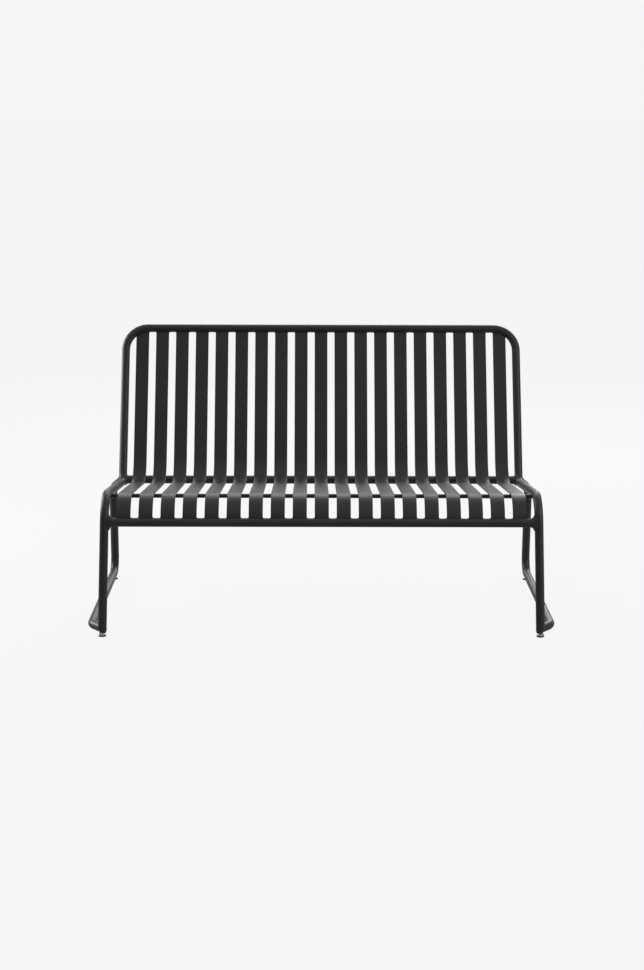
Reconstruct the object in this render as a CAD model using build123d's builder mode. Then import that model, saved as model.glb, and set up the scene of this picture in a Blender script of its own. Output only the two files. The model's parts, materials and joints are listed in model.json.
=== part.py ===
from build123d import *
import math
import os

os.makedirs("parts", exist_ok=True)

# Lengths are in millimetres and angles in degrees. The sofa stands on the plane Z = 0 and faces -Y.
# Left and right are as seen from the front, so left is -X. Places are those of centre lines.

# Stock sizes
tube_diameter = 25.0
tube_wall = 2.0
slat_width = 40.0
slat_thickness = 4.0
slat_edge_break = 0.7
rod_diameter = 12.0

# Slats side by side
slat_count = 19
slat_gap = 22.1
end_gap = 19.3
slat_bend_clearance = 0.1
slat_weld_radius = 3.5

# Side view of the seat and the back
overall_height = 810.0
seat_depth = 550.0
knee_height = 405.0
seat_slope = 6.7
back_slope = 20.0
knee_radius = 68.0
seat_bend_radius = 32.0
hoop_corner_radius = 70.0
hoop_joint_rise = 62.0
rod_setback = 100.0
rail_flare_radius = 10.0
flare_turns = (0, 18, 36, 54, 72, 90)
rail_tuck_share = 0.03

# Front legs and sleds
foot_splay = 10.5
flare_run = 47.0
flare_width = 34.5
flare_bend_radius = 60.0
runner_toe_in = 3.0
heel_reach = 720.0
heel_bend_radius = 40.0
rear_leg_bend_height = 311.0
rear_leg_bend_reach = 612.0
rear_leg_inset = 6.0
rear_leg_bend_radius = 60.0
rear_leg_weld_inset = 2.0

# Screw glides and their threaded inserts
glide_pad_diameter = 22.0
glide_pad_thickness = 3.5
glide_pad_edge = 0.8
glide_cap_diameter = 21.0
glide_cap_height = 4.5
glide_cap_taper = 8.0
glide_neck = 3.0
stud_diameter = 8.0
stud_seat_depth = 2.0
stud_overrun = 2.0
stud_point = 1.0
thread_clearance = 0.1
insert_diameter = 16.0
insert_length = 16.0
rear_glide_inset = 33.0

# Sizes that follow
tube_radius = tube_diameter / 2
bore_radius = tube_radius - tube_wall
rod_radius = rod_diameter / 2
slat_pitch = slat_width + slat_gap
side_x = slat_pitch * (slat_count - 1) / 2 + slat_width / 2 + end_gap + tube_radius
seat_rise = math.tan(math.radians(seat_slope))
back_lean = math.tan(math.radians(back_slope))
glide_height = glide_pad_thickness + glide_cap_height + glide_neck
sled_z = glide_height + tube_radius
mitre_cut = 2 * tube_diameter

# Corners of the centre line in the side view, with the depth centred on Y = 0
hoop_z = overall_height - tube_radius
seat_corner_z = knee_height - seat_depth * seat_rise
back_run = (hoop_z - seat_corner_z) * back_lean
leg_y = -(seat_depth + back_run) / 2
seat_corner_y = leg_y + seat_depth
hoop_y = seat_corner_y + back_run

# Unit directions in the side view
down_seat = Vector(0, math.cos(math.radians(seat_slope)), -math.sin(math.radians(seat_slope)))
up_back = Vector(0, math.sin(math.radians(back_slope)), math.cos(math.radians(back_slope)))
seat_normal = Vector(0, -down_seat.Z, down_seat.Y)
bend_inward = (up_back - down_seat).normalized()
bend_along = (up_back + down_seat).normalized()

# The bend between seat and back: its half turn sets how far each arc cuts inside the corner
seat_half_turn = down_seat.get_angle(up_back) / 2
bend_cut_share = 1 / math.cos(math.radians(seat_half_turn)) - 1
side_bend_cut = seat_bend_radius * bend_cut_share
slat_bend_cut = side_bend_cut + tube_radius + slat_thickness / 2 + slat_bend_clearance
slat_bend_radius = slat_bend_cut / bend_cut_share

# The knee turns from the seat line down to the legs, and the front rail lies where its bend ends
knee_half_turn = (90 + seat_slope) / 2
knee_tangent = knee_radius * math.tan(math.radians(knee_half_turn))
front_rail_z = knee_height - knee_tangent

seat_corner = Vector(0, seat_corner_y, seat_corner_z)
knee_corner = Vector(0, leg_y, knee_height)
hoop_top = Vector(0, hoop_y, hoop_z)
hoop_joint = seat_corner + up_back * hoop_joint_rise
rear_rail_centre = seat_corner + bend_inward * side_bend_cut
rod_centre = (
    knee_corner
    + down_seat * (rod_setback / down_seat.Y)
    - seat_normal * (slat_thickness / 2 + slat_bend_clearance + rod_radius)
)


def at_side(side, point, outward=0):
    """A point of the side view, moved out to the side frame on the given side."""
    return Vector(side * (side_x + outward), point.Y, point.Z)


def swept_tube(path, radius, bore=0):
    """A round bar, or a tube if it has a bore, along a path."""
    with BuildPart() as tube:
        with BuildSketch(Plane(origin=path @ 0, z_dir=path % 0)):
            Circle(radius)
            if bore:
                Circle(bore, mode=Mode.SUBTRACT)
        sweep(path=path)
    return tube.part


def side_path(side):
    """From the weld under the hoop through the seat bend and the knee to the foot."""
    foot = at_side(side, Vector(0, leg_y, sled_z), foot_splay)
    knee = at_side(side, knee_corner)
    past_foot = foot + (foot - knee).normalized() * tube_diameter
    with BuildLine() as path:
        FilletPolyline(
            at_side(side, hoop_joint),
            at_side(side, seat_corner),
            knee,
            past_foot,
            radius=(seat_bend_radius, knee_radius),
        )
    return path.wire()


def sled_corners(side):
    """Foot, flare, heel and upper bend of one sled, and its weld on the side tube."""
    runner = foot_splay + flare_width
    heel = runner - runner_toe_in
    return (
        at_side(side, Vector(0, leg_y, sled_z), foot_splay),
        at_side(side, Vector(0, leg_y + flare_run, sled_z), runner),
        at_side(side, Vector(0, leg_y + heel_reach, sled_z), heel),
        at_side(side, Vector(0, leg_y + rear_leg_bend_reach, rear_leg_bend_height), heel - rear_leg_inset),
        at_side(side, rear_rail_centre),
    )


def sled_path(side):
    """From before the foot along the runner and up the rear leg, just into the side tube."""
    foot, flare, heel, upper, weld = sled_corners(side)
    before_foot = foot - (flare - foot).normalized() * tube_diameter
    end = weld - (weld - upper).normalized() * rear_leg_weld_inset
    with BuildLine() as path:
        FilletPolyline(
            before_foot,
            flare,
            heel,
            upper,
            end,
            radius=(flare_bend_radius, heel_bend_radius, rear_leg_bend_radius),
        )
    return path.wire()


def foot_mitre(side):
    """The plane that halves the corner between a front leg and its sled, facing the sled."""
    foot, flare = sled_corners(side)[:2]
    down_leg = (foot - at_side(side, knee_corner)).normalized()
    return Plane(origin=foot, z_dir=down_leg + (flare - foot).normalized())


def side_body(side, bore=0):
    """A side tube from the hoop to its mitre at the foot: solid, or hollow if it has a bore."""
    with BuildPart() as body:
        add(swept_tube(side_path(side), tube_radius, bore))
        with BuildSketch(foot_mitre(side)):
            Circle(mitre_cut)
        extrude(amount=mitre_cut, mode=Mode.SUBTRACT)
    return body.part


def glide_places(side):
    """Front and rear glide of one sled, as points on its centre line."""
    foot, flare, heel = sled_corners(side)[:3]
    rear_y = heel.Y - rear_glide_inset
    share = (rear_y - flare.Y) / (heel.Y - flare.Y)
    return foot, flare + (heel - flare) * share


def rail_body(centre, along, bore=0):
    """A rail whose smooth welded ends are ellipses that grow along the side tubes: solid, or with a bore."""
    tube_face = side_x - tube_radius
    with BuildPart() as body:
        with BuildSketch(Plane(origin=centre, x_dir=along, z_dir=(1, 0, 0))):
            Circle(tube_radius)
        extrude(amount=tube_face - rail_flare_radius, both=True)
        for side in (-1, 1):
            for turn in flare_turns:
                out = rail_flare_radius * math.sin(math.radians(turn))
                grown = rail_flare_radius * (1 - math.cos(math.radians(turn)))
                place = Vector(side * (tube_face - rail_flare_radius + out), centre.Y, centre.Z)
                with BuildSketch(Plane(origin=place, x_dir=along, z_dir=(side, 0, 0))):
                    Ellipse(tube_radius + grown, tube_radius - grown * rail_tuck_share)
            place = Vector(side * side_x, centre.Y, centre.Z)
            with BuildSketch(Plane(origin=place, x_dir=along, z_dir=(side, 0, 0))):
                Ellipse(tube_radius + rail_flare_radius, tube_radius - rail_flare_radius * rail_tuck_share)
            loft(ruled=True)
        if bore:
            with BuildSketch(Plane(origin=centre, x_dir=along, z_dir=(1, 0, 0))):
                Circle(bore)
            extrude(amount=side_x, both=True, mode=Mode.SUBTRACT)
        add(both_envelopes, mode=Mode.SUBTRACT)
    return body.part


def write(piece, label):
    """Label a finished piece and write its STEP file."""
    piece.label = label
    export_step(piece, f"parts/{label}.step")


sides = {"left": -1, "right": 1}
side_envelopes = {name: side_body(side) for name, side in sides.items()}
both_envelopes = side_envelopes["left"] + side_envelopes["right"]

# Back hoop: one tube with two rounded corners, butted on the side tubes
with BuildLine() as hoop_line:
    FilletPolyline(
        at_side(-1, hoop_joint),
        at_side(-1, hoop_top),
        at_side(1, hoop_top),
        at_side(1, hoop_joint),
        radius=hoop_corner_radius,
    )
hoop_envelope = swept_tube(hoop_line.wire(), tube_radius)
back_hoop = swept_tube(hoop_line.wire(), tube_radius, bore_radius)
write(back_hoop, "back_hoop")

# Side tubes: seat bend, seat side, knee and front leg, mitred at the foot
for name, side in sides.items():
    write(side_body(side, bore_radius), f"side_tube_{name}")

# Rails: the front one between the legs, the rear one in the side tubes' bends behind the slats
front_rail_centre = Vector(0, leg_y, front_rail_z)
write(rail_body(front_rail_centre, (0, 0, 1), bore_radius), "front_rail")
write(rail_body(rear_rail_centre, bend_along, bore_radius), "rear_rail")
rear_rail_envelope = rail_body(rear_rail_centre, bend_along)

# Seat rod: a round bar under the slats, coped to the side tubes
with BuildPart() as seat_rod:
    with BuildSketch(Plane.YZ):
        with Locations((rod_centre.Y, rod_centre.Z)):
            Circle(rod_radius)
    extrude(amount=side_x, both=True)
    add(both_envelopes, mode=Mode.SUBTRACT)
write(seat_rod.part, "seat_rod")

# What trims the slats: the hoop with the waste outside its corners, and the front rail
back_plane = Plane(origin=hoop_top, x_dir=(1, 0, 0), z_dir=Vector(1, 0, 0).cross(up_back))
corner_x = side_x - hoop_corner_radius
with BuildPart() as slat_trim:
    waste_size = hoop_corner_radius + tube_radius
    with BuildSketch(back_plane):
        with Locations((corner_x, -hoop_corner_radius)):
            Rectangle(waste_size, waste_size, align=(Align.MIN, Align.MIN))
            Circle(hoop_corner_radius, mode=Mode.SUBTRACT)
        with Locations((-corner_x, -hoop_corner_radius)):
            Rectangle(waste_size, waste_size, align=(Align.MAX, Align.MIN))
            Circle(hoop_corner_radius, mode=Mode.SUBTRACT)
    extrude(amount=tube_radius, both=True)
    add(hoop_envelope)
    with BuildSketch(Plane.YZ):
        with Locations((leg_y, front_rail_z)):
            Circle(tube_radius)
    extrude(amount=side_x, both=True)

# Slats: one bent flat bar each, from the hoop over the seat to the front rail
rail_top_z = front_rail_z + tube_radius
weld_sag = knee_radius - math.sqrt(knee_radius**2 - (tube_radius + slat_weld_radius) ** 2)
for number in range(slat_count):
    slat_x = (number - (slat_count - 1) / 2) * slat_pitch
    shift = Vector(slat_x, 0, 0)
    with BuildLine() as slat_line:
        FilletPolyline(
            hoop_top + shift,
            seat_corner + shift,
            knee_corner + shift,
            Vector(slat_x, leg_y, front_rail_z - tube_radius / 2),
            radius=(slat_bend_radius, knee_radius),
        )
    with BuildPart() as slat:
        with BuildSketch(Plane(origin=hoop_top + shift, x_dir=(1, 0, 0), z_dir=-up_back)) as section:
            Rectangle(slat_width, slat_thickness)
            chamfer(section.vertices(), slat_edge_break)
        sweep(path=slat_line.wire())
        weld_place = (slat_x, leg_y + weld_sag, front_rail_z)
        with BuildSketch(Plane(origin=weld_place, x_dir=(1, 0, 0), z_dir=(0, -1, 0))):
            foot_height = tube_radius + slat_weld_radius
            Rectangle(slat_width + 2 * slat_weld_radius, foot_height, align=(Align.CENTER, Align.MIN))
            with Locations(
                (slat_width / 2 + slat_weld_radius, foot_height),
                (-slat_width / 2 - slat_weld_radius, foot_height),
            ):
                Circle(slat_weld_radius, mode=Mode.SUBTRACT)
        extrude(amount=slat_thickness / 2 - slat_edge_break, both=True)
        add(slat_trim.part, mode=Mode.SUBTRACT)
    write(slat.part, f"slat_{number + 1:02d}")

# Threaded inserts: four round bushes, welded in the undersides of the sled tubes
insert_places = [place for side in sides.values() for place in glide_places(side)]
with BuildPart() as foot_inserts:
    for place in insert_places:
        with BuildSketch(Plane(origin=(place.X, place.Y, glide_height))):
            Circle(insert_diameter / 2)
            Circle(stud_diameter / 2 + thread_clearance, mode=Mode.SUBTRACT)
        extrude(amount=insert_length)
write(foot_inserts.part, "foot_inserts")

# Sleds: flare, runner, heel and rear leg in one tube, mitred at the foot, coped at the top
for name, side in sides.items():
    with BuildPart() as sled:
        add(swept_tube(sled_path(side), tube_radius, bore_radius))
        with BuildSketch(foot_mitre(side)):
            Circle(mitre_cut)
        extrude(amount=-mitre_cut, mode=Mode.SUBTRACT)
        add(side_envelopes[name], mode=Mode.SUBTRACT)
        add(rear_rail_envelope, mode=Mode.SUBTRACT)
        for place in glide_places(side):
            with BuildSketch(Plane(origin=(place.X, place.Y, 0))):
                Circle(insert_diameter / 2)
            extrude(amount=glide_height + insert_length, mode=Mode.SUBTRACT)
    write(sled.part, f"sled_{name}")

# Glides: a threaded stud with a round steel cap, seated in a round pad
for name, side in sides.items():
    for row, place in zip(("front", "rear"), glide_places(side)):
        with BuildPart() as stud:
            stud_bottom = glide_pad_thickness - stud_seat_depth
            stud_top = glide_height + insert_length + stud_overrun
            with BuildSketch(Plane(origin=(place.X, place.Y, stud_bottom))):
                Circle(stud_diameter / 2)
            extrude(amount=stud_top - stud_bottom)
            chamfer(stud.edges().sort_by(Axis.Z)[-1], stud_point)
            with BuildSketch(Plane(origin=(place.X, place.Y, glide_pad_thickness))):
                Circle(glide_cap_diameter / 2)
            extrude(amount=glide_cap_height, taper=glide_cap_taper)
        write(stud.part, f"glide_stud_{row}_{name}")
        with BuildPart() as pad:
            with BuildSketch(Plane(origin=(place.X, place.Y, 0), x_dir=(1, 0, 0), z_dir=(0, -1, 0))):
                with BuildLine():
                    Polyline(
                        (0, 0),
                        (glide_pad_diameter / 2 - glide_pad_edge, 0),
                        (glide_pad_diameter / 2, glide_pad_edge),
                        (glide_pad_diameter / 2, glide_pad_thickness),
                        (stud_diameter / 2, glide_pad_thickness),
                        (stud_diameter / 2, stud_bottom),
                        (0, stud_bottom),
                        close=True,
                    )
                make_face()
            revolve(axis=Axis((place.X, place.Y, 0), (0, 0, 1)))
        write(pad.part, f"glide_pad_{row}_{name}")
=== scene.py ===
import json
import math

import bpy
from mathutils import Matrix, Vector
from mathutils.bvhtree import BVHTree


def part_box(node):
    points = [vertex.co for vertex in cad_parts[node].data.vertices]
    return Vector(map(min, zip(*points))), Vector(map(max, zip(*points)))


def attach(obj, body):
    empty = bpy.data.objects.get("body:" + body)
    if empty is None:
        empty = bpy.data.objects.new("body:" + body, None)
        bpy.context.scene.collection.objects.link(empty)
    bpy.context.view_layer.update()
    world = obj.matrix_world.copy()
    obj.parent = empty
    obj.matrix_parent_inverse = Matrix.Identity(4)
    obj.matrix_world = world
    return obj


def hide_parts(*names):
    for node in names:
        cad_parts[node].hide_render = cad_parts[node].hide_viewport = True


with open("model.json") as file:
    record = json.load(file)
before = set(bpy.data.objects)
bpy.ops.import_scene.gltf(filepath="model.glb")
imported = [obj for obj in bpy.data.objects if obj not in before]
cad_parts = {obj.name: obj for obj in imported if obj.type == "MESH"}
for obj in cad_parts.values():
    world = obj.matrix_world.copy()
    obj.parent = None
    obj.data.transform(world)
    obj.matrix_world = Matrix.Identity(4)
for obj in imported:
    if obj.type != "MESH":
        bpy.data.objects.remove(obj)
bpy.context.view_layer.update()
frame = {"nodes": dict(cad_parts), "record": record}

# Lengths are in metres, in the CAD model's frame: the sofa stands on Z = 0 and faces -Y.

# Camera, fitted to the photograph: its place, its angles in radians, its focal length in pixels,
# and how far its view is shifted up, as a share of the photograph's height
PHOTO_HEIGHT = 970
CAMERA_PLACE = Vector((-0.0307, -5.9927, 1.5225))
CAMERA_TURN, CAMERA_TILT, CAMERA_ROLL = -0.0053, 0.1143, 0.0028
FOCAL_PIXELS = 2034.5
VIEW_SHIFT_UP = -0.16
SENSOR_MILLIMETRES = 36.0
CLIP_END = 400

# Room: linear brightness where it is seen, as light, and where it is mirrored low down. Its mirror
# image turns from dark to pale along an axis, between two places on it from -1 to 1.
ROOM_SEEN = 0.92
ROOM_LIGHT = 0.38
ROOM_LOW = 0.10
ROOM_PALE_SIDE = (-0.03, 0.12, 0.99)
ROOM_DARK_BELOW, ROOM_PALE_ABOVE = -0.2, 0.75

# Floor: half its width, its paper's colour, its glow, and the glow's share where the floor is seen.
# The share where it is mirrored grows between two depths.
FLOOR_HALF = 150.0
FLOOR_COLOUR = 0.42
FLOOR_GLOW = 0.968
FLOOR_SEEN_SHARE = 0.93
FLOOR_FRONT, FLOOR_BACK = -1.5, 2.0
FLOOR_FRONT_SHARE, FLOOR_BACK_SHARE = 0.03, 0.35

# Lamps: place, aim, width, and power in watts
LAMPS = {
    "back_light": ((0.4, 3.3, 2.6), (0, 0, 0.35), 3.2, 115),
    "left_light": ((-2.4, 0.8, 1.1), (-0.6, 0.2, 0.6), 1.2, 50),
    "right_light": ((1.5, 2.6, 1.5), (0.4, 0, 0.4), 1.3, 15),
    "front_light": ((3.2, -1.9, 1.4), (0, 0, 0.4), 2.8, 55),
}

# Weld beads: radii, sides, step along the line, and fewest steps
BEAD_RADIUS = 0.0018
FINE_BEAD_RADIUS = 0.0011
BEAD_SIDES = 8
BEAD_STEP = 0.0007
FEWEST_STEPS = 4
SHORTEST_STEP = 1e-9

# Ripples: spacing and depth as a share of the radius, and a slower ripple's shares of both
RIPPLE = 0.0030
RIPPLE_DEPTH = 0.10
SLOW_RIPPLE = 4.7
SLOW_RIPPLE_DEPTH = 0.6

# Open ends of a bead: how late they taper, and the least square of their size
END_LATENESS = 4
END_LEAST = 0.02

# Seams: how near a corner is to its neighbour, and in how many sectors the edge is looked for
SEAM_REACH = 0.00015
SEAM_SECTORS = 90

# Tacks under the slats: length, and the gap that they fill as a share of the bead's radius
TACK_LENGTH = 0.018
TACK_GAP = 0.8
TUBE_RADIUS = 0.0125

# Screw glides: coarse M8 thread, its flanks' steepness in depths per pitch, its pointed end, the
# roundings of the cap and the pad, the cap's taper in degrees, and the hollow under the pad
THREAD_PITCH = 0.00125
THREAD_DEPTH = 0.00068
THREAD_FLANK = 2.5
THREAD_POINT = 0.001
RINGS_PER_PITCH = 8
THREAD_SIDES = 40
LATHE_SIDES = 64
ROUNDING_STEPS = 6
CAP_ROUNDING = 0.0011
CAP_TAPER = 8
CAP_SHOULDER = 0.0005
PAD_ROUNDING = 0.0010
PAD_HOLLOW = 0.0004
PAD_HOLLOW_RADIUS = 0.0035


def node_tree(name):
    """A new material with an empty node tree."""
    material = bpy.data.materials.new(name)
    material.use_nodes = True
    material.node_tree.nodes.clear()
    return material, material.node_tree


def add_node(tree, kind, **values):
    """A node with its inputs and properties set: an input's name has underscores for its spaces."""
    node = tree.nodes.new(kind)
    for key, value in values.items():
        socket = key.replace("_", " ")
        if socket in node.inputs:
            node.inputs[socket].default_value = value
        else:
            setattr(node, key, value)
    return node


def feed(tree, source, socket):
    """A socket linked to another one, or set to a number."""
    if isinstance(source, bpy.types.NodeSocket):
        tree.links.new(source, socket)
    else:
        socket.default_value = source


def calculated(tree, operation, *terms):
    """The result of a calculation with sockets or numbers."""
    node = add_node(tree, "ShaderNodeMath", operation=operation)
    for term, socket in zip(terms, node.inputs):
        feed(tree, term, socket)
    return node.outputs[0]


def mixed(tree, factor, first, second):
    """A number from the first to the second with a factor."""
    node = add_node(tree, "ShaderNodeMix", data_type="FLOAT")
    for name, source in (("Factor", factor), ("A", first), ("B", second)):
        feed(tree, source, node.inputs[name])
    return node.outputs["Result"]


def mapped(tree, value, before, after, kind="LINEAR"):
    """A value mapped from the range before to the range after."""
    node = add_node(
        tree,
        "ShaderNodeMapRange",
        interpolation_type=kind,
        From_Min=before[0],
        From_Max=before[1],
        To_Min=after[0],
        To_Max=after[1],
    )
    tree.links.new(value, node.inputs["Value"])
    return node.outputs["Result"]


def noise(tree, scale, detail):
    """Noise that stays with the object."""
    place = add_node(tree, "ShaderNodeTexCoord")
    texture = add_node(tree, "ShaderNodeTexNoise", Scale=scale, Detail=detail)
    tree.links.new(place.outputs["Object"], texture.inputs["Vector"])
    return texture.outputs["Fac"]


def new_finish(name, **values):
    """A new material, its node tree and its shader."""
    material, tree = node_tree(name)
    out = add_node(tree, "ShaderNodeOutputMaterial")
    shader = add_node(tree, "ShaderNodeBsdfPrincipled", **values)
    tree.links.new(shader.outputs[0], out.inputs[0])
    return material, tree, shader


def vary_colour(tree, shader, factor, dark, pale, dark_at=0, pale_at=1):
    """The shader's colour from dark to pale with a factor."""
    ramp = add_node(tree, "ShaderNodeValToRGB")
    first, last = ramp.color_ramp.elements
    first.position, first.color = dark_at, (*dark, 1)
    last.position, last.color = pale_at, (*pale, 1)
    tree.links.new(factor, ramp.inputs["Fac"])
    tree.links.new(ramp.outputs["Color"], shader.inputs["Base Color"])


def vary_roughness(tree, shader, factor, low, high):
    """The shader's roughness from low to high with a factor."""
    tree.links.new(mapped(tree, factor, (0, 1), (low, high)), shader.inputs["Roughness"])


def add_bump(tree, shader, height, strength, distance):
    """A bump on the shader from a height."""
    bump = add_node(tree, "ShaderNodeBump", Strength=strength, Distance=distance)
    tree.links.new(height, bump.inputs["Height"])
    tree.links.new(bump.outputs["Normal"], shader.inputs["Normal"])


def powder_coat(name):
    """Satin black powder coat: fine orange peel, faint mottling, slightly duller in places."""
    material, tree, shader = new_finish(name, IOR=1.5, Specular_IOR_Level=0.3)
    mottle = noise(tree, scale=14, detail=4)
    dark, pale = (0.018, 0.018, 0.0185), (0.023, 0.023, 0.0235)
    vary_colour(tree, shader, mottle, dark, pale, dark_at=0.35, pale_at=0.7)
    vary_roughness(tree, shader, mottle, low=0.38, high=0.48)
    peel = noise(tree, scale=850, detail=2)
    add_bump(tree, shader, peel, strength=0.12, distance=0.0003)
    return material


def plated_steel():
    """Bright zinc plating with faint grain."""
    material, tree, shader = new_finish("plated_steel", Metallic=1)
    grain = noise(tree, scale=600, detail=3)
    vary_colour(tree, shader, grain, dark=(0.50, 0.51, 0.53), pale=(0.70, 0.70, 0.70))
    vary_roughness(tree, shader, grain, low=0.22, high=0.38)
    return material


def black_nylon():
    """Matte moulded plastic with a fine spark-eroded grain."""
    material, tree, shader = new_finish("black_nylon", Roughness=0.6)
    grain = noise(tree, scale=1500, detail=2)
    vary_colour(tree, shader, grain, dark=(0.010, 0.010, 0.010), pale=(0.022, 0.022, 0.022))
    add_bump(tree, shader, grain, strength=0.2, distance=0.0002)
    return material


def ray_kinds(tree):
    """One for camera rays, and one for glossy and transmission rays."""
    path = add_node(tree, "ShaderNodeLightPath")
    glossy, through = path.outputs["Is Glossy Ray"], path.outputs["Is Transmission Ray"]
    return path.outputs["Is Camera Ray"], calculated(tree, "MAXIMUM", glossy, through)


def studio_floor():
    """Pale paper that keeps a soft shadow. It glows where it is seen, and less where it is mirrored."""
    material, tree = node_tree("floor_paper")
    link = tree.links.new
    out = add_node(tree, "ShaderNodeOutputMaterial")
    mix = add_node(tree, "ShaderNodeMixShader")
    paper = add_node(tree, "ShaderNodeBsdfDiffuse", Color=(*[FLOOR_COLOUR] * 3, 1))
    glow = add_node(tree, "ShaderNodeEmission", Color=(*[FLOOR_GLOW] * 3, 1))
    place = add_node(tree, "ShaderNodeTexCoord")
    split = add_node(tree, "ShaderNodeSeparateXYZ")
    link(place.outputs["Object"], split.inputs[0])
    depths, shares = (FLOOR_FRONT, FLOOR_BACK), (FLOOR_FRONT_SHARE, FLOOR_BACK_SHARE)
    depth_share = mapped(tree, split.outputs["Y"], depths, shares, "SMOOTHSTEP")
    seen, mirrored = ray_kinds(tree)
    seen_share = calculated(tree, "MULTIPLY", seen, FLOOR_SEEN_SHARE)
    mirrored_share = calculated(tree, "MULTIPLY", mirrored, depth_share)
    link(calculated(tree, "ADD", seen_share, mirrored_share), mix.inputs["Fac"])
    link(paper.outputs[0], mix.inputs[1])
    link(glow.outputs[0], mix.inputs[2])
    link(mix.outputs[0], out.inputs[0])
    return material


def make_world():
    """The pale room: plain where it is seen, and mirrored pale overhead and darker lower down."""
    world = bpy.data.worlds.new("studio")
    world.use_nodes = True
    tree = world.node_tree
    tree.nodes.clear()
    link = tree.links.new
    out = add_node(tree, "ShaderNodeOutputWorld")
    light = add_node(tree, "ShaderNodeBackground", Color=(1, 1, 1, 1))
    place = add_node(tree, "ShaderNodeTexCoord")
    along = add_node(tree, "ShaderNodeVectorMath", operation="DOT_PRODUCT")
    along.inputs[1].default_value = ROOM_PALE_SIDE
    link(place.outputs["Generated"], along.inputs[0])
    places, shades = (ROOM_DARK_BELOW, ROOM_PALE_ABOVE), (ROOM_LOW, ROOM_SEEN)
    walls = mapped(tree, along.outputs["Value"], places, shades, "SMOOTHSTEP")
    seen, mirrored = ray_kinds(tree)
    unseen_strength = mixed(tree, mirrored, ROOM_LIGHT, walls)
    link(mixed(tree, seen, unseen_strength, ROOM_SEEN), light.inputs["Strength"])
    link(light.outputs[0], out.inputs[0])
    bpy.context.scene.world = world


def make_floor():
    """A wide plain floor."""
    half = FLOOR_HALF
    mesh = bpy.data.meshes.new("floor")
    corners = [(-half, -half, 0), (half, -half, 0), (half, half, 0), (-half, half, 0)]
    mesh.from_pydata(corners, [], [(0, 1, 2, 3)])
    mesh.materials.append(studio_floor())
    floor = bpy.data.objects.new("floor", mesh)
    bpy.context.collection.objects.link(floor)


def add_softbox(name, place, aim, size, power):
    """A square lamp at a place, aimed at a point."""
    lamp = bpy.data.lights.new(name, "AREA")
    lamp.shape = "SQUARE"
    lamp.size = size
    lamp.energy = power
    softbox = bpy.data.objects.new(name, lamp)
    softbox.location = place
    softbox.visible_camera = False
    softbox.rotation_euler = (Vector(aim) - Vector(place)).to_track_quat("-Z", "Y").to_euler()
    bpy.context.collection.objects.link(softbox)


def make_camera():
    """The camera at the photograph's viewing angle."""
    forward = Vector((
        -math.sin(CAMERA_TURN) * math.cos(CAMERA_TILT),
        math.cos(CAMERA_TURN) * math.cos(CAMERA_TILT),
        -math.sin(CAMERA_TILT),
    ))
    level = Vector((math.cos(CAMERA_TURN), math.sin(CAMERA_TURN), 0))
    upright = level.cross(forward)
    right = level * math.cos(CAMERA_ROLL) + upright * math.sin(CAMERA_ROLL)
    up = upright * math.cos(CAMERA_ROLL) - level * math.sin(CAMERA_ROLL)
    data = bpy.data.cameras.new("camera")
    data.sensor_width = SENSOR_MILLIMETRES
    data.lens = FOCAL_PIXELS * SENSOR_MILLIMETRES / PHOTO_HEIGHT
    data.shift_y = VIEW_SHIFT_UP
    data.clip_end = CLIP_END
    camera = bpy.data.objects.new("camera", data)
    camera.matrix_world = Matrix((
        (right.x, up.x, -forward.x, CAMERA_PLACE.x),
        (right.y, up.y, -forward.y, CAMERA_PLACE.y),
        (right.z, up.z, -forward.z, CAMERA_PLACE.z),
        (0, 0, 0, 1),
    ))
    bpy.context.collection.objects.link(camera)
    bpy.context.scene.camera = camera


def new_piece(name, shape, body, slot):
    """A smooth-shaded piece of corners and faces, which rides on a body and has a slot's material."""
    vertices, faces = shape
    mesh = bpy.data.meshes.new(name)
    mesh.from_pydata(vertices, [], faces)
    mesh.polygons.foreach_set("use_smooth", [True] * len(mesh.polygons))
    mesh.materials.append(slot_materials[slot])
    piece = bpy.data.objects.new(name, mesh)
    bpy.context.collection.objects.link(piece)
    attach(piece, body)
    return piece


def joined(shapes):
    """Corners and faces of several shapes as one."""
    vertices, faces = [], []
    for more_vertices, more_faces in shapes:
        base = len(vertices)
        vertices += more_vertices
        faces += [tuple(base + corner for corner in face) for face in more_faces]
    return vertices, faces


def ring_faces(rings, sides, closed=False):
    """Faces between rings of corners, with a lid on each end where the rings don't close."""
    faces = []
    for ring in range(rings if closed else rings - 1):
        base, following = ring * sides, (ring + 1) % rings * sides
        for turn in range(sides):
            beside = (turn + 1) % sides
            faces.append((base + turn, base + beside, following + beside, following + turn))
    if not closed:
        faces.append(tuple(reversed(range(sides))))
        faces.append(tuple(range((rings - 1) * sides, rings * sides)))
    return faces


def node_points(node):
    """The corners of a CAD node's mesh."""
    node_object = frame["nodes"][node]
    return [node_object.matrix_world @ vertex.co for vertex in node_object.data.vertices]


def node_surface(node):
    """A CAD node's surface, to look up the nearest point on it."""
    faces = [polygon.vertices[:] for polygon in frame["nodes"][node].data.polygons]
    return BVHTree.FromPolygons(node_points(node), faces)


def seam(node, neighbour, where=lambda point: True):
    """The edge of the face with which a node stands on its neighbour, in order round its middle."""
    surface = node_surface(neighbour)
    touching = []
    for point in node_points(node):
        if where(point) and surface.find_nearest(point, SEAM_REACH)[0] is not None:
            touching.append(point)
    middle = sum(touching, Vector()) / len(touching)
    arms = [point - middle for point in touching]
    first = max(arms, key=lambda arm: arm.length).normalized()
    second = max(arms, key=lambda arm: arm.cross(first).length)
    second = (second - first * second.dot(first)).normalized()
    outermost = {}
    for point, arm in zip(touching, arms):
        along, across = arm.dot(first), arm.dot(second)
        sector = round(math.atan2(across, along) / math.tau * SEAM_SECTORS) % SEAM_SECTORS
        reach = Vector((along, across)).length
        if sector not in outermost or reach > outermost[sector][0]:
            outermost[sector] = (reach, point)
    return [outermost[sector][1] for sector in sorted(outermost)]


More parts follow.
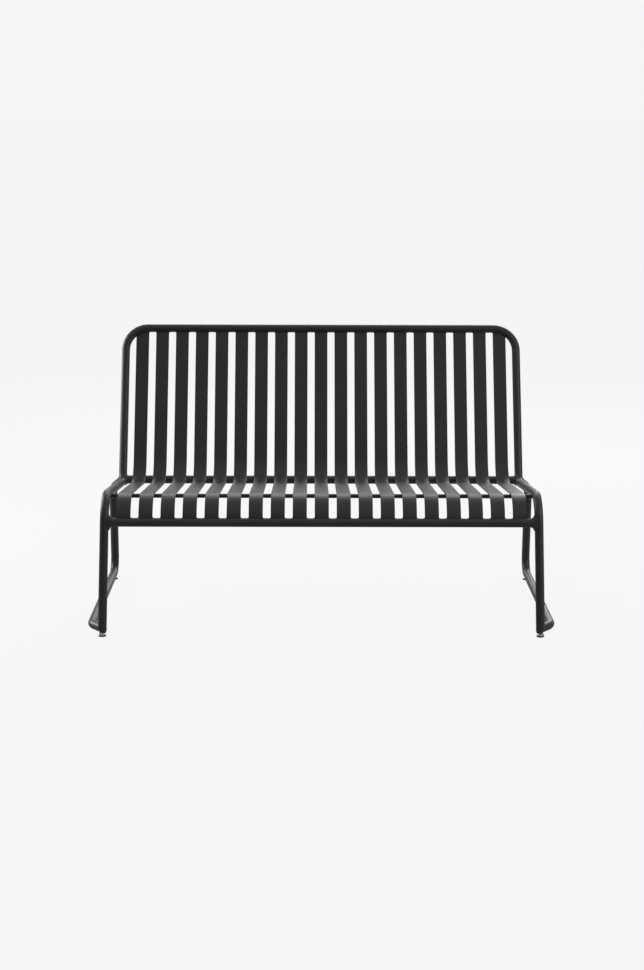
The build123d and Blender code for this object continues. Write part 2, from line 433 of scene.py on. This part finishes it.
def rear_run(line):
    """The part of a closed line that lies behind its middle, as one open run."""
    middle = sum(line, Vector()) / len(line)
    behind = [point.y > middle.y for point in line]
    start = next(number for number in range(len(line)) if behind[number] and not behind[number - 1])
    return [point for point in line[start:] + line[:start] if point.y > middle.y]


def resampled(points, step, closed):
    """Points at an even step along a line."""
    ends = points + points[:1] if closed else points
    lengths = [0.0]
    for start, end in zip(ends, ends[1:]):
        lengths.append(lengths[-1] + (end - start).length)
    count = max(FEWEST_STEPS, round(lengths[-1] / step))
    result = []
    run = 0
    for number in range(count if closed else count + 1):
        at = lengths[-1] * number / count
        while run < len(lengths) - 2 and lengths[run + 1] < at:
            run += 1
        share = (at - lengths[run]) / max(lengths[run + 1] - lengths[run], SHORTEST_STEP)
        result.append(ends[run].lerp(ends[run + 1], share))
    return result


def bead_mesh(points, radius, closed, seed):
    """Corners and faces of a rippled round bead along a line, tapered at open ends."""
    line = resampled(points, BEAD_STEP, closed)
    count = len(line)
    side = None
    vertices = []
    for number, centre in enumerate(line):
        after = line[(number + 1) % count] if closed else line[min(number + 1, count - 1)]
        before = line[number - 1] if closed else line[max(number - 1, 0)]
        ahead = (after - before).normalized()
        if side is None:
            side = ahead.orthogonal()
        side = (side - ahead * side.dot(ahead)).normalized()
        other = ahead.cross(side)
        ripples = math.tau * number * BEAD_STEP / RIPPLE
        swell = 1 + RIPPLE_DEPTH * math.sin(ripples)
        swell += SLOW_RIPPLE_DEPTH * RIPPLE_DEPTH * math.sin(seed + ripples / SLOW_RIPPLE)
        if not closed:
            share = 2 * number / (count - 1) - 1
            swell *= math.sqrt(max(1 - share**END_LATENESS, END_LEAST))
        for turn in range(BEAD_SIDES):
            angle = math.tau * turn / BEAD_SIDES
            arm = side * math.cos(angle) + other * math.sin(angle)
            vertices.append(centre + arm * radius * swell)
    return vertices, ring_faces(count, BEAD_SIDES, closed)


def weld(name, lines, radius=BEAD_RADIUS, closed=True):
    """One piece with a weld bead along each line."""
    beads = [bead_mesh(line, radius, closed, seed) for seed, line in enumerate(lines)]
    new_piece(name, joined(beads), "frame", "coated_steel")


def tack_lines(bar_middle, bar_radius, slats):
    """Short lines on both sides of where a round cross bar touches each slat."""
    lean = math.acos(1 - TACK_GAP * BEAD_RADIUS / bar_radius)
    half = Vector((TACK_LENGTH / 2, 0, 0))
    lines = []
    for slat in slats:
        low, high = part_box(slat)
        surface = node_surface(slat)
        middle = Vector(((low[0] + high[0]) / 2, bar_middle.y, bar_middle.z))
        contact = (surface.find_nearest(middle)[0] - middle).normalized()
        for sense in (-1, 1):
            on_bar = middle + Matrix.Rotation(sense * lean, 3, "X") @ contact * bar_radius
            seat = (on_bar + surface.find_nearest(on_bar)[0]) / 2
            lines.append([seat - half, seat + half])
    return lines


def weld_frame():
    """Weld beads along the seams of the frame, and tacks under the slats."""
    nodes = [part["node"] for part in frame["record"]["subparts"]]
    slats = [node for node in nodes if node.startswith("slat_")]
    middle_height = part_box("seat_rod")[0][2] / 2
    for side in ("left", "right"):
        side_tube, sled = f"side_tube_{side}", f"sled_{side}"
        leg_seam = seam(sled, side_tube, lambda point: point.z > middle_height)
        foot_seam = seam(sled, side_tube, lambda point: point.z < middle_height)
        weld(f"weld_rod_{side}", [seam("seat_rod", side_tube)])
        weld(f"weld_leg_{side}", [leg_seam])
        weld(f"weld_foot_{side}", [rear_run(foot_seam)], FINE_BEAD_RADIUS, closed=False)
    weld("weld_slat_tops", [seam(slat, "back_hoop") for slat in slats])
    rod_low, rod_high = (Vector(corner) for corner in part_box("seat_rod"))
    rail_low, rail_high = (Vector(corner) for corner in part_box("rear_rail"))
    rod_lines = tack_lines((rod_low + rod_high) / 2, (rod_high.z - rod_low.z) / 2, slats)
    rail_lines = tack_lines((rail_low + rail_high) / 2, TUBE_RADIUS, slats)
    weld("tacks_rod", rod_lines, closed=False)
    weld("tacks_rail", rail_lines, closed=False)


def turned_point(centre, radius, height, angle):
    """A point at a radius and a height, turned about an upright axis at a centre."""
    return (centre[0] + radius * math.cos(angle), centre[1] + radius * math.sin(angle), height)


def lathe_mesh(centre, profile):
    """Corners and faces of a profile of radius and height, turned about an upright axis."""
    vertices = []
    for radius, height in profile:
        for turn in range(LATHE_SIDES):
            vertices.append(turned_point(centre, radius, height, math.tau * turn / LATHE_SIDES))
    return vertices, ring_faces(len(profile), LATHE_SIDES)


def rounding(radius, height, size, start, end):
    """Points of an arc about a centre at a radius and a height, between two angles in degrees."""
    points = []
    for step in range(ROUNDING_STEPS + 1):
        angle = math.radians(start + (end - start) * step / ROUNDING_STEPS)
        points.append((radius + size * math.cos(angle), height + size * math.sin(angle)))
    return points


def thread_mesh(centre, low, high, radius):
    """Corners and faces of an upright screw thread whose ridge climbs one pitch in each turn."""
    step = THREAD_PITCH / RINGS_PER_PITCH
    rings = round((high - low) / step)
    vertices = []
    for ring in range(rings + 1):
        height = low + (high - low) * ring / rings
        most = radius - max(0, height - (high - THREAD_POINT))
        for turn in range(THREAD_SIDES):
            phase = (height / THREAD_PITCH - turn / THREAD_SIDES) % 1
            depth = THREAD_DEPTH * min(1, THREAD_FLANK / 2 - THREAD_FLANK * abs(phase - 0.5))
            angle = math.tau * turn / THREAD_SIDES
            vertices.append(turned_point(centre, min(most, radius - depth), height, angle))
    return vertices, ring_faces(rings + 1, THREAD_SIDES)


def stud_sizes(stud, pad_top):
    """What a stud's box doesn't give: its thread's radius and the height of its cap's top."""
    low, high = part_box(stud)
    x, y = (low[0] + high[0]) / 2, (low[1] + high[1]) / 2
    arms = [(math.hypot(point.x - x, point.y - y), point.z) for point in node_points(stud)]
    thread_radius = max(radius for radius, height in arms if height < pad_top - THREAD_DEPTH)
    cap_top = max(height for radius, height in arms if radius > thread_radius + THREAD_DEPTH)
    return thread_radius, cap_top


def make_glide(place):
    """A screw glide at a foot: a threaded stud with a rounded steel cap, on a moulded pad."""
    body, stud, pad = f"glide_{place}", f"glide_stud_{place}", f"glide_pad_{place}"
    stud_low, stud_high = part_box(stud)
    pad_low, pad_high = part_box(pad)
    centre = ((pad_low[0] + pad_high[0]) / 2, (pad_low[1] + pad_high[1]) / 2)
    cap_radius, pad_radius = (stud_high[0] - stud_low[0]) / 2, (pad_high[0] - pad_low[0]) / 2
    pad_top = pad_high[2]
    thread_radius, cap_top = stud_sizes(stud, pad_top)
    cap_middle = cap_radius - CAP_SHOULDER - CAP_ROUNDING
    cap_profile = [
        (cap_radius, pad_top),
        *rounding(cap_middle, cap_top - CAP_ROUNDING, CAP_ROUNDING, CAP_TAPER, 90),
    ]
    cap = lathe_mesh(centre, cap_profile)
    thread = thread_mesh(centre, cap_top - THREAD_DEPTH, stud_high[2], thread_radius)
    screw = new_piece(f"screw_{place}", joined([cap, thread]), body, "stud_steel")
    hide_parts(stud)
    top_rounding = PAD_ROUNDING / 2
    pad_profile = [
        (PAD_HOLLOW_RADIUS, PAD_HOLLOW),
        (PAD_HOLLOW_RADIUS + PAD_HOLLOW, 0),
        *rounding(pad_radius - PAD_ROUNDING, PAD_ROUNDING, PAD_ROUNDING, -90, 0),
        *rounding(pad_radius - top_rounding, pad_top - top_rounding, top_rounding, 0, 90),
    ]
    foot = new_piece(f"foot_{place}", lathe_mesh(centre, pad_profile), body, "glide_plastic")
    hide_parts(pad)


# The sofa: materials of the CAD nodes, welds and screw glides
slot_materials = {
    "coated_steel": powder_coat("powder_coat"),
    "insert_steel": powder_coat("insert_coat"),
    "stud_steel": plated_steel(),
    "glide_plastic": black_nylon(),
}
for part in frame["record"]["subparts"]:
    materials = frame["nodes"][part["node"]].data.materials
    materials.clear()
    materials.append(slot_materials[part["material_slot"]])
weld_frame()
for row in ("front", "rear"):
    for side in ("left", "right"):
        make_glide(f"{row}_{side}")

# The studio
bpy.context.scene.view_settings.view_transform = "Standard"
make_world()
make_floor()
make_camera()
for name, settings in LAMPS.items():
    add_softbox(name, *settings)
